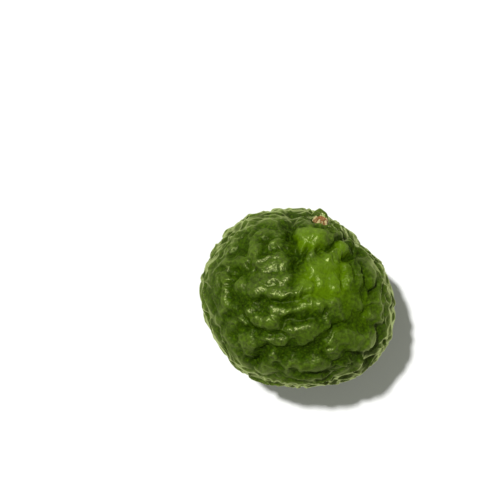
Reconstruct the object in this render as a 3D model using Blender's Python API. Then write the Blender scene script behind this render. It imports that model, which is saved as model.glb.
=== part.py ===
"""A whole bergamot orange as picked: a squat, dark green fruit with a warty rind, lying on its side.

Run it in Blender 4.5, from the text editor or with blender --background --python part.py.
Metres, +Z up. The origin is on the floor, straight below the middle of the fruit, in the small flat
spot that the fruit lies on. The stem end points along +Y, a little to the right and upwards.

The rind is one ball of square cells whose points are pushed out along their own direction. How far is
worked out by rind_radius: a squat body, a few broad swellings, and on them warts, folds and creases.
The folds and creases of the upper side are laid out by hand, in millimetres as an eye sees them that
looks straight down from not quite half a metre above. Warts scattered over the whole ball fill what
they leave free.
"""

import math

import bmesh
import bpy
import numpy as np
from mathutils import Matrix, Vector, noise

MM = 0.001

# The body, without its warts
EQUATOR_RADIUS = 31.6 * MM
POLAR_RADIUS = 28.5 * MM
STEM_LIFT = math.radians(26.0)
STEM_TURN = math.radians(16.0)
BALL_CELLS = 31

# Broad swellings (+) and flats (-) of the body: direction from its middle, spread in degrees, height
BROAD_FORMS = (
    # The flat shoulder right of the stem, and the swelling beyond it
    ((0.70, 0.71, 0.10), 17.0, -3.9 * MM),
    ((0.80, -0.60, -0.05), 28.0, 2.4 * MM),
    ((-0.97, 0.22, 0.05), 30.0, 0.6 * MM),
    ((-0.48, 0.87, 0.10), 16.0, 1.2 * MM),
    ((0.91, 0.41, 0.05), 12.0, -0.4 * MM),
    ((0.92, -0.40, 0.0), 10.0, -0.4 * MM),
    # The collar in front of the stem
    ((0.25, 0.66, 0.70), 15.0, 2.2 * MM),
    # The broad smooth lobe of the lower right
    ((0.60, -0.44, 0.66), 12.0, 1.2 * MM),
    # The fuller lower left, and the flatter bottom edge beside it
    ((-0.63, -0.77, 0.05), 15.0, 1.0 * MM),
    ((0.24, -0.96, 0.05), 24.0, -1.0 * MM),
)
UNEVENNESS = 0.8 * MM
UNEVEN_SCALE = 2.6

# The small flat spot underneath, where the warts run together
REST_HEIGHT = 30.9 * MM
REST_SPREAD = math.radians(13.0)
REST_RISE = 1.0 * MM

# The stem end and the blossom end, by angle from the stem's axis
STEM_HOLLOW_DEPTH = 2.4 * MM
STEM_HOLLOW_SPREAD = math.radians(7.0)
BLOSSOM_HOLLOW_DEPTH = 1.3 * MM
BLOSSOM_HOLLOW_SPREAD = math.radians(9.0)

# How far warts spread beyond their size, how round they are, how sharply they meet, how deep between
DOME_SPREAD = 1.4
DOME_POWER = 2.2
MEETING_SHARPNESS = 2.4 / MM
GROOVE_FLOOR = -0.4 * MM
FACING_LIMIT = 0.6

# Where the noise is read for each part of a vector
NOISE_SHIFTS = ((0.0, 0.0, 0.0), (31.7, 0.0, 0.0), (0.0, 47.3, 0.0))

# How far warts, folds and creases wander off their outlines: broadly, and in small steps
WANDER_REACH = 2.2 * MM
WANDER_SCALE = 3.6
SMALL_WANDER_REACH = 1.2 * MM
SMALL_WANDER_SCALE = 9.0

# The scattered warts
WART_COUNT = 640
WART_SEED = 11
WART_HALF_LENGTH = (2.2 * MM, 4.4 * MM)
WART_HALF_WIDTH = (1.4 * MM, 2.3 * MM)
WART_HEIGHT = (0.3 * MM, 1.0 * MM)
WART_TURN_SPREAD = math.radians(34.0)
WART_SIDE_STEP = 0.3
CLEAR_OF_FOLDS = 0.2 * MM
CLEAR_OF_CREASES = 0.2 * MM

# The eye that looks straight down at the fruit: how high over its middle, and how far beside it
EYE_OVER_MIDDLE = 467.8 * MM
EYE_BESIDE_MIDDLE = np.array((-15.9, 16.2)) * MM
SIGHT_STEPS = 8
LEAST_HEIGHT_SHARE = 0.2

# Folds of the upper side: points (x, y) in mm as seen by that eye, full width in mm, height in mm
FOLDS = (
    # The collar below the stem
    (((1.6, 21.6), (4.8, 20.8)), 4.8, 1.3),
    (((7.2, 20.6), (9.6, 19.8), (11.8, 20.4)), 7.0, 2.0),
    (((4.4, 23.8), (8.0, 24.0), (11.0, 23.2)), 3.0, 1.5),
    (((13.4, 24.0), (15.0, 22.4)), 3.1, 1.0),
    # The bright knob and its tail, right of the collar
    (((15.2, 17.3), (16.4, 16.5)), 4.8, 1.4),
    (((13.8, 15.2), (9.9, 14.1)), 2.9, 2.0),
    # The pale swelling in the middle of the right half
    (((5.8, 14.4),), 5.1, 1.0),
    (((8.2, 11.6), (11.6, 10.9)), 4.1, 0.9),
    (((4.6, 10.6), (6.2, 8.6)), 3.7, 0.8),
    (((11.7, 7.2),), 3.6, 0.8),
    (((8.2, 7.0), (8.6, 4.6)), 3.6, 0.7),
    (((12.3, 3.9),), 3.7, 0.8),
    (((17.0, 10.6), (17.4, 7.0), (17.0, 3.4)), 3.7, 0.2),
    # The long rows that run across the middle
    (((-15.0, 2.1), (-12.8, 3.7), (-9.4, 2.0), (-5.0, 1.5), (-0.6, 1.6), (3.2, 3.0)), 3.6, 1.1),
    (((0.4, 3.6), (3.6, 3.2)), 4.4, 1.0),
    (((-7.6, -3.3), (-4.2, -4.2), (0.6, -4.2)), 3.8, 1.1),
    (((4.6, -2.6), (9.1, -1.6), (11.9, -1.2)), 3.9, 0.9),
    (((-13.7, -7.3), (-9.9, -8.5), (-6.4, -7.8)), 3.7, 1.1),
    (((-3.3, -10.7), (0.4, -10.3), (5.4, -9.6), (10.0, -8.4), (11.4, -6.2)), 3.9, 1.1),
    (((5.3, -12.9), (2.0, -14.6)), 2.9, 0.6),
    (((-2.2, -22.0), (3.7, -22.4), (9.6, -21.8)), 3.8, 1.3),
    (((-2.4, -25.8), (4.8, -26.4), (9.6, -25.8)), 3.4, 0.7),
    (((-9.0, -26.6), (-5.0, -27.0)), 3.1, 0.9),
    # The broad smooth lobe at the lower right, and the knobs around it
    (((13.8, -12.8), (18.2, -13.0), (22.6, -13.2), (24.8, -15.2)), 6.5, 1.0),
    (((12.4, -17.7),), 4.6, 1.0),
    (((15.8, -23.8),), 3.9, 1.0),
    (((20.2, -21.5),), 3.9, 1.0),
    (((27.6, -3.2),), 4.8, 1.1),
    (((24.0, -6.6),), 4.8, 1.0),
    (((20.6, -2.2),), 5.1, 1.0),
    (((16.8, -4.8),), 4.8, 0.8),
    # The ridges right of the pale swelling
    (((20.6, 10.4), (20.8, 5.0)), 3.7, 0.8),
    (((25.4, 8.2), (25.2, 5.0)), 3.9, 1.1),
    (((24.0, 11.6),), 3.9, 0.9),
    (((23.4, 15.4),), 3.7, 1.0),
    # The knobs of the upper left
    (((-10.1, 10.9),), 4.8, 1.1),
    (((-5.3, 12.4),), 4.4, 1.0),
    (((-14.6, 14.8), (-12.6, 16.5)), 3.6, 0.9),
    (((-19.6, 12.7),), 4.1, 0.9),
    (((-19.1, 21.2),), 3.7, 0.8),
    (((-18.7, 4.4),), 4.1, 1.0),
    (((-25.7, 6.6), (-23.2, 6.4)), 3.7, 1.0),
    (((-24.5, -0.3), (-21.8, -3.4)), 3.6, 1.0),
    (((-23.8, 1.8),), 3.2, 0.7),
    (((-11.4, 6.8), (-7.4, 6.4), (-3.0, 6.6)), 3.7, 0.9),
    (((-8.3, 25.2),), 7.3, 1.0),
    (((-12.2, 21.4), (-9.4, 21.8), (-6.5, 21.0)), 3.4, 0.8),
    (((-8.6, 17.6), (-4.4, 17.2)), 3.7, 0.8),
    # The knobs of the lower left
    (((-16.4, -13.6), (-15.6, -16.2)), 5.1, 1.1),
    (((-15.3, -4.6),), 4.1, 0.9),
    (((-5.1, -14.5),), 4.4, 1.0),
    (((-10.3, -13.4),), 4.1, 0.9),
    (((-20.6, -18.0),), 4.4, 1.0),
    (((-13.0, -24.6), (-8.6, -23.6)), 4.2, 1.0),
    (((-6.3, -20.2), (-8.8, -18.4)), 4.1, 0.9),
    # The knob behind the stem
    (((7.0, 29.0), (9.2, 28.8)), 4.0, 2.2),
)
FOLD_STEP = 0.42
FOLD_SEED = 5
FOLD_UNEVENNESS = 0.3

# Creases of the upper side: points as above, full width in mm, depth in mm
CREASES = (
    # The valley left of the stem, and the creases round the collar and the knob
    (((-1.6, 28.0), (-1.9, 23.6), (-1.5, 19.0), (-0.6, 15.4)), 4.4, 1.4),
    (((3.6, 16.8), (1.6, 13.4), (-0.8, 10.2)), 2.6, 1.3),
    (((15.6, 21.4), (12.9, 18.2), (10.2, 16.4), (8.2, 15.2), (7.4, 16.4)), 2.4, 1.8),
    (((18.8, 13.7), (15.4, 13.4), (12.0, 13.2)), 2.0, 1.2),
    # The grooves right of the pale swelling
    (((15.4, 9.0), (15.5, 3.6)), 2.0, 0.7),
    (((19.2, 16.6), (20.2, 14.4)), 2.6, 1.2),
    (((22.4, 8.4), (22.4, 1.6)), 2.6, 1.3),
    (((27.0, 4.6), (24.6, 1.8)), 2.2, 1.2),
    # The dark valleys between the long rows
    (((-21.0, 0.0), (-14.0, -1.6), (-8.0, -1.3), (-2.5, -1.4)), 3.2, 0.7),
    (((-4.0, -7.4), (0.8, -7.3), (5.7, -6.8), (9.6, -5.8)), 4.2, 0.9),
    (((12.8, -9.2), (16.8, -9.0), (22.8, -9.6)), 3.6, 1.1),
    (((-17.0, -10.6), (-11.0, -11.0), (-6.0, -10.8)), 3.6, 0.6),
    (((-3.0, -17.4), (4.0, -17.6), (8.4, -15.6)), 3.8, 0.6),
    # The creases round the smooth lobe of the lower right
    (((27.2, -9.2), (27.2, -13.2), (24.8, -17.8), (20.0, -19.0), (16.8, -18.8)), 3.0, 1.4),
    (((25.8, -19.8), (22.4, -22.0)), 2.6, 1.1),
    (((18.2, -25.0), (15.6, -26.2)), 2.4, 0.9),
    (((-10.4, -16.4), (-11.9, -18.9), (-14.6, -21.6)), 2.8, 1.5),
    (((-0.4, -24.8), (5.0, -25.3), (10.0, -24.8)), 2.2, 0.8),
    (((-21.0, 8.4), (-16.4, 8.2)), 2.6, 0.7),
)
CREASE_STEP = 0.20

# The socket in the stem hollow, and the button of dry calyx and broken stem that stands in it
BUTTON_RADIUS = 2.6 * MM
BUTTON_FROM_MIDDLE = 29.0 * MM
BUTTON_HEIGHT = 1.3 * MM
BUTTON_LOBES = 5
BUTTON_LOBE_DEPTH = 0.16
BUTTON_SIDES = 40
BUTTON_RINGS = 18
STUB_RADIUS = 1.35 * MM
STUB_RISE = 0.9 * MM
STUB_EDGE = 0.12 * MM
SOCKET_GAP = 0.3 * MM
SOCKET_SIDES = 32
SOCKET_REACH = 12.0 * MM
WELD_DISTANCE = 0.01 * MM

RIND_COLOR = (0.045, 0.085, 0.006, 1.0)
RIND_ROUGHNESS = 0.36
BUTTON_COLOR = (0.36, 0.22, 0.10, 1.0)
BUTTON_ROUGHNESS = 0.85

STEM_AXIS = np.array((
    math.sin(STEM_TURN) * math.cos(STEM_LIFT),
    math.cos(STEM_TURN) * math.cos(STEM_LIFT),
    math.sin(STEM_LIFT),
))
DOWN = np.array((0.0, 0.0, -1.0))


def unit(vectors):
    """The same directions, one long."""
    vectors = np.asarray(vectors, float)
    return vectors / np.linalg.norm(vectors, axis=-1, keepdims=True)


def angle_from(directions, axis):
    """The angle between each direction and the axis."""
    return np.arccos(np.clip(directions @ axis, -1.0, 1.0))


def bell(angle, spread):
    """1 in the middle, fading to 0 within about twice the spread."""
    return np.exp(-((angle / spread) ** 2))


def body_radius(directions):
    """From the middle to the plain body, without warts, along each direction."""
    along = directions @ STEM_AXIS
    across = np.sqrt(np.clip(1.0 - along**2, 0.0, 1.0))
    radius = 1.0 / np.sqrt((along / POLAR_RADIUS) ** 2 + (across / EQUATOR_RADIUS) ** 2)
    for centre, spread, height in BROAD_FORMS:
        radius = radius + height * bell(angle_from(directions, unit(centre)), math.radians(spread))
    return radius


def seen_from_above(x_mm, y_mm):
    """The direction in which the upper side shows the point (x, y), in mm, to the eye above.

    The point's height is worked out in steps, from the body's reach in the last direction found. At
    the outline, where there is no height left, a small one is kept.
    """
    spot = np.array((x_mm, y_mm)) * MM
    reach = EQUATOR_RADIUS
    height = reach
    for _ in range(SIGHT_STEPS):
        nearness = 1.0 - height / EYE_OVER_MIDDLE
        across = EYE_BESIDE_MIDDLE + (spot - EYE_BESIDE_MIDDLE) * nearness
        height = math.sqrt(max(reach**2 - across @ across, (LEAST_HEIGHT_SHARE * reach) ** 2))
        direction = unit((*across, height))
        reach = float(body_radius(direction))
    return direction


def round_the_stem(direction):
    """The tangent at this direction that runs round the stem's axis, as a line of latitude does."""
    return unit(np.cross(STEM_AXIS, direction))


def noise_values(directions, scale, shift=(0.0, 0.0, 0.0)):
    """Smooth noise at each direction, about -1 to 1. Each shift gives another noise."""
    shift = Vector(shift)
    return np.array([noise.noise(Vector(direction) * scale + shift) for direction in directions])


def noise_vectors(directions, scale):
    """Three noises at each direction, as a vector."""
    return np.stack([noise_values(directions, scale, shift) for shift in NOISE_SHIFTS], axis=1)


def wandered(directions):
    """Directions shifted sideways by smooth noise, so that no outline on the rind runs true."""
    broad = noise_vectors(directions, WANDER_SCALE) * WANDER_REACH
    small = noise_vectors(directions, SMALL_WANDER_SCALE) * SMALL_WANDER_REACH
    return unit(directions + (broad + small) / EQUATOR_RADIUS)


def row_of_domes(points, width_mm, height_mm, step_share, rng=None):
    """A fold or a crease: round domes a short step apart over the body, through its points."""
    corners = wandered(np.array([seen_from_above(*point) for point in points]))
    step = width_mm * step_share * MM / EQUATOR_RADIUS
    centres = []
    for start, end in zip(corners, corners[1:]):
        count = max(1, round(float(angle_from(start, end)) / step))
        centres += [unit(start + (end - start) * i / count) for i in range(count)]
    centres.append(corners[-1])
    domes = []
    for centre in centres:
        growth = 1.0 + (rng.uniform(-FOLD_UNEVENNESS, FOLD_UNEVENNESS) if rng else 0.0)
        half = 0.5 * width_mm * MM * growth
        domes.append((centre, round_the_stem(centre), half, half, height_mm * MM * growth))
    return domes


def clear_of(direction, domes, margin):
    """Whether this direction is outside every one of these domes, by the margin."""
    centres = np.array([dome[0] for dome in domes])
    halves = np.array([dome[3] for dome in domes])
    distance = EQUATOR_RADIUS * angle_from(centres, direction)
    return bool((distance > halves + margin).all())


def scattered_warts(folds, creases):
    """Long warts all over the ball, an even distance apart, turned roughly round the stem's axis."""
    rng = np.random.default_rng(WART_SEED)
    golden_turn = math.pi * (3.0 - math.sqrt(5.0))
    spacing = math.sqrt(4.0 * math.pi / WART_COUNT)
    warts = []
    for i in range(WART_COUNT):
        height = 1.0 - 2.0 * (i + 0.5) / WART_COUNT
        ring = math.sqrt(1.0 - height**2)
        spot = np.array((ring * math.cos(i * golden_turn), ring * math.sin(i * golden_turn), height))
        centre = unit(spot + rng.normal(0.0, WART_SIDE_STEP * spacing, 3))
        half_length = rng.uniform(*WART_HALF_LENGTH)
        half_width = rng.uniform(*WART_HALF_WIDTH)
        rise = rng.uniform(*WART_HEIGHT)
        turn = rng.normal(0.0, WART_TURN_SPREAD)
        along = round_the_stem(centre)
        across = np.cross(centre, along)
        along = math.cos(turn) * along + math.sin(turn) * across
        if clear_of(centre, folds, CLEAR_OF_FOLDS) and clear_of(centre, creases, CLEAR_OF_CREASES):
            warts.append((centre, along, half_length, half_width, rise))
    return warts


def height_of(domes, directions):
    """Height of the highest dome at each direction, with rounded meetings; the groove floor between."""
    centres, alongs = (np.array([dome[i] for dome in domes]) for i in (0, 1))
    half_length, half_width, rise = (np.array([dome[i] for dome in domes]) for i in (2, 3, 4))
    acrosses = np.cross(centres, alongs)
    u = directions @ alongs.T * (EQUATOR_RADIUS / (DOME_SPREAD * half_length))
    v = directions @ acrosses.T * (EQUATOR_RADIUS / (DOME_SPREAD * half_width))
    dome = rise - (rise - GROOVE_FLOOR) * (u * u + v * v) ** (0.5 * DOME_POWER)
    reached = (directions @ centres.T > FACING_LIMIT) & (dome > GROOVE_FLOOR - rise)
    meeting = np.where(reached, np.exp(MEETING_SHARPNESS * np.where(reached, dome, 0.0)), 0.0)
    floor = math.exp(MEETING_SHARPNESS * GROOVE_FLOOR)
    return np.log(floor + meeting.sum(axis=1)) / MEETING_SHARPNESS


def depth_of(creases, directions):
    """Depth of the deepest crease at each direction, with sloping sides."""
    centres = np.array([crease[0] for crease in creases])
    half_width, depth = (np.array([crease[i] for crease in creases]) for i in (3, 4))
    across = EQUATOR_RADIUS * np.sqrt(np.clip(2.0 - 2.0 * directions @ centres.T, 0.0, None))
    return (depth * bell(across, half_width)).max(axis=1)


def rind_radius(directions):
    """From the middle to the rind along each direction: the body, its unevenness, warts and ends."""
    rng = np.random.default_rng(FOLD_SEED)
    folds = [dome for fold in FOLDS for dome in row_of_domes(*fold, FOLD_STEP, rng)]
    creases = [dome for crease in CREASES for dome in row_of_domes(*crease, CREASE_STEP)]
    swayed = wandered(directions)
    relief = height_of(folds + scattered_warts(folds, creases), swayed) - depth_of(creases, swayed)
    rest = bell(angle_from(directions, DOWN), REST_SPREAD)
    relief = relief + UNEVENNESS * noise_values(directions, UNEVEN_SCALE)
    relief = relief * (1.0 - rest) + REST_RISE * rest
    stem_hollow = STEM_HOLLOW_DEPTH * bell(angle_from(directions, STEM_AXIS), STEM_HOLLOW_SPREAD)
    blossom_hollow = BLOSSOM_HOLLOW_DEPTH * bell(angle_from(directions, -STEM_AXIS), BLOSSOM_HOLLOW_SPREAD)
    return body_radius(directions) + relief - stem_hollow - blossom_hollow


def rind_points(directions):
    """Points of the rind, in the part's frame. What would lie below the floor lies flat on it."""
    points = directions * rind_radius(directions)[:, None]
    points[:, 2] = np.maximum(points[:, 2] + REST_HEIGHT, 0.0)
    return points


def ball_of_cells(cells):
    """A ball made from a cube: each face in cells by cells squares of nearly even size, one in radius."""
    ball = bmesh.new()
    bmesh.ops.create_cube(ball, size=2.0)
    bmesh.ops.subdivide_edges(ball, edges=ball.edges[:], cuts=cells - 1, use_grid_fill=True)
    for vert in ball.verts:
        vert.co = Vector([math.tan(c * math.pi / 4.0) for c in vert.co]).normalized()
    return ball


def material(name, color, roughness):
    """A plain finish of one colour."""
    made = bpy.data.materials.new(name)
    made.use_nodes = True
    shader = made.node_tree.nodes["Principled BSDF"]
    shader.inputs["Base Color"].default_value = color
    shader.inputs["Roughness"].default_value = roughness
    return made


def new_object(name, mesh_source, finish, collection):
    """A smooth-shaded object of this name in the collection, from a bmesh that it uses up."""
    mesh = bpy.data.meshes.new(name)
    mesh_source.to_mesh(mesh)
    mesh_source.free()
    mesh.shade_smooth()
    if finish:
        mesh.materials.append(finish)
    made = bpy.data.objects.new(name, mesh)
    collection.objects.link(made)
    return made


def stem_matrix(distance):
    """Places +Z along the stem's axis, this far from the middle of the fruit."""
    turn = Vector(STEM_AXIS).to_track_quat("Z", "Y").to_matrix().to_4x4()
    middle = Matrix.Translation((0.0, 0.0, REST_HEIGHT))
    return middle @ Matrix.Translation(Vector(STEM_AXIS) * distance) @ turn


def make_fruit(collection):
    """The whole fruit, before the socket for the stem button is cut."""
    ball = ball_of_cells(BALL_CELLS)
    points = rind_points(np.array([vert.co[:] for vert in ball.verts]))
    for vert, point in zip(ball.verts, points):
        vert.co = point
    bmesh.ops.triangulate(ball, faces=ball.faces[:], quad_method="SHORT_EDGE")
    return new_object("fruit", ball, material("rind", RIND_COLOR, RIND_ROUGHNESS), collection)


def make_socket_cutter(collection):
    """A round bar whose lower end is the socket's floor."""
    bar = bmesh.new()
    radius = BUTTON_RADIUS * (1.0 + BUTTON_LOBE_DEPTH) + SOCKET_GAP
    bmesh.ops.create_cone(
        bar, cap_ends=True, segments=SOCKET_SIDES, radius1=radius, radius2=radius, depth=SOCKET_REACH
    )
    cutter = new_object("socket_cutter", bar, None, collection)
    cutter.matrix_world = stem_matrix(BUTTON_FROM_MIDDLE - SOCKET_GAP + 0.5 * SOCKET_REACH)
    cutter.hide_render = True
    cutter.display_type = "WIRE"
    return cutter


def cut_socket(fruit, cutter):
    """Takes the cutter out of the fruit."""
    cut = fruit.modifiers.new("stem_socket", "BOOLEAN")
    cut.operation = "DIFFERENCE"
    cut.object = cutter


def make_button(collection):
    """The stem button: a low dome with five lobes round it, and the broken stem standing in its middle."""
    button = bmesh.new()
    bmesh.ops.create_uvsphere(button, u_segments=BUTTON_SIDES, v_segments=BUTTON_RINGS, radius=1.0)
    for vert in button.verts:
        x, y, z = vert.co
        ring = math.hypot(x, y)
        lobes = math.cos(BUTTON_LOBES * math.atan2(y, x)) * ring**2
        reach = BUTTON_RADIUS * (1.0 + BUTTON_LOBE_DEPTH * lobes)
        stub = STUB_RISE / (1.0 + math.exp((ring * BUTTON_RADIUS - STUB_RADIUS) / STUB_EDGE))
        top = BUTTON_HEIGHT * math.sqrt(max(z, 0.0)) + stub
        vert.co = (x * reach, y * reach, top if z > 0.0 else 0.0)
    bmesh.ops.remove_doubles(button, verts=button.verts[:], dist=WELD_DISTANCE)
    finish = material("dry_stem", BUTTON_COLOR, BUTTON_ROUGHNESS)
    made = new_object("stem_button", button, finish, collection)
    made.matrix_world = stem_matrix(BUTTON_FROM_MIDDLE)
    return made


def main():
    for old in list(bpy.data.objects):
        bpy.data.objects.remove(old)
    parts = bpy.data.collections.new("bergamot_orange")
    cutters = bpy.data.collections.new("cutters")
    bpy.context.scene.collection.children.link(parts)
    bpy.context.scene.collection.children.link(cutters)
    fruit = make_fruit(parts)
    cut_socket(fruit, make_socket_cutter(cutters))
    make_button(parts)


main()
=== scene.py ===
"""The looks of a whole bergamot orange: its warty rind, its dry stem button, and the stage under it.

Laid out as a Blender add-on, and run as a script. The rind is the same ball as the plain solid that it
stands for, pushed out by the same broad forms, folds, creases and warts, with many more points. Small
wrinkles are added to it, and the oil glands are left to its finish. Metres, +Z up.
"""

import math

import bmesh
import bpy
import numpy as np
from bpy.props import FloatProperty, FloatVectorProperty, IntProperty, PointerProperty
from mathutils import Matrix, Vector, noise


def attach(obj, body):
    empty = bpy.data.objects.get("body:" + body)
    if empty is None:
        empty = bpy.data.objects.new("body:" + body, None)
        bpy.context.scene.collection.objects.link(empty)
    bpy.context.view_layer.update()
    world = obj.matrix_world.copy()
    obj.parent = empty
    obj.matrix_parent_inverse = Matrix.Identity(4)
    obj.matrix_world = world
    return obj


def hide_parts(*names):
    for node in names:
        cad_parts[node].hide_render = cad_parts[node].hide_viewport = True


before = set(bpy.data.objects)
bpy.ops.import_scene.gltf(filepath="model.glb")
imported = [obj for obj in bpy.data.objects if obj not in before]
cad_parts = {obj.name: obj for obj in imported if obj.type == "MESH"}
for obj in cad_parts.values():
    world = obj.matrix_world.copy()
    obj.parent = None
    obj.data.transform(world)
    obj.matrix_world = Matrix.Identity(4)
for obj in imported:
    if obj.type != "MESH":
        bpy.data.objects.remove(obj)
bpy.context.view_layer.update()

bl_info = {
    "name": "Bergamot Orange",
    "version": (1, 0, 0),
    "blender": (4, 5, 0),
    "location": "View3D > Sidebar > Bergamot",
    "description": "Builds a whole bergamot orange with a warty rind, and the stage it lies on",
    "category": "Add Mesh",
}

MM = 0.001

# Where the stem points
STEM_LIFT = math.radians(26.0)
STEM_TURN = math.radians(16.0)

# Broad swellings (+) and flats (-) of the body: direction from its middle, spread in degrees, height
BROAD_FORMS = (
    # The flat shoulder right of the stem, and the full flank at the lower right
    ((0.70, 0.71, 0.10), 17.0, -3.9 * MM),
    ((0.80, -0.60, -0.05), 28.0, 2.4 * MM),
    # The fuller left flank, and the fuller shoulder left of the stem
    ((-0.97, 0.22, 0.05), 30.0, 0.6 * MM),
    ((-0.48, 0.87, 0.10), 16.0, 1.2 * MM),
    # Two slight flats of the right flank
    ((0.91, 0.41, 0.05), 12.0, -0.4 * MM),
    ((0.92, -0.40, 0.0), 10.0, -0.4 * MM),
    # The collar in front of the stem
    ((0.25, 0.66, 0.70), 15.0, 2.2 * MM),
    # The broad smooth lobe of the lower right
    ((0.60, -0.44, 0.66), 12.0, 1.2 * MM),
    # The fuller lower left, and the flatter bottom edge beside it
    ((-0.63, -0.77, 0.05), 15.0, 1.0 * MM),
    ((0.24, -0.96, 0.05), 24.0, -1.0 * MM),
)
UNEVENNESS = 0.8 * MM
UNEVEN_SCALE = 2.6

# The small flat spot underneath, where the warts run together
REST_HEIGHT = 30.9 * MM
REST_SPREAD = math.radians(13.0)
REST_RISE = 1.0 * MM

# The stem end and the blossom end, by angle from the stem's axis
STEM_HOLLOW_DEPTH = 2.4 * MM
STEM_HOLLOW_SPREAD = math.radians(7.0)
BLOSSOM_HOLLOW_DEPTH = 1.3 * MM
BLOSSOM_HOLLOW_SPREAD = math.radians(9.0)

# How far warts spread beyond their size, how round they are, how sharply they meet, how deep between
DOME_SPREAD = 1.4
DOME_POWER = 2.2
MEETING_SHARPNESS = 2.4 / MM
GROOVE_FLOOR = -0.4 * MM

# The cosine of the widest angle at which a wart still counts, so that none shows on the far side too
FACING_LIMIT = 0.6

# Where the noise is read for each part of a vector
NOISE_SHIFTS = ((0.0, 0.0, 0.0), (31.7, 0.0, 0.0), (0.0, 47.3, 0.0))

# How far warts, folds and creases wander off their outlines: broadly, and in small steps
WANDER_REACH = 2.2 * MM
WANDER_SCALE = 3.6
SMALL_WANDER_REACH = 1.2 * MM
SMALL_WANDER_SCALE = 9.0

# The scattered warts
WART_COUNT = 640
WART_SEED = 11
WART_HALF_LENGTH = (2.2 * MM, 4.4 * MM)
WART_HALF_WIDTH = (1.4 * MM, 2.3 * MM)
WART_HEIGHT = (0.3 * MM, 1.0 * MM)
WART_TURN_SPREAD = math.radians(34.0)
WART_SIDE_STEP = 0.3
CLEAR_OF_FOLDS = 0.2 * MM
CLEAR_OF_CREASES = 0.2 * MM

# The eye that looks straight down at the fruit: how high over its middle, and how far beside it
EYE_OVER_MIDDLE = 467.8 * MM
EYE_BESIDE_MIDDLE = np.array((-15.9, 16.2)) * MM

# Steps in finding such a point on the body, and its least height as a share of the body's reach there
SIGHT_STEPS = 8
LEAST_HEIGHT_SHARE = 0.2

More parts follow.
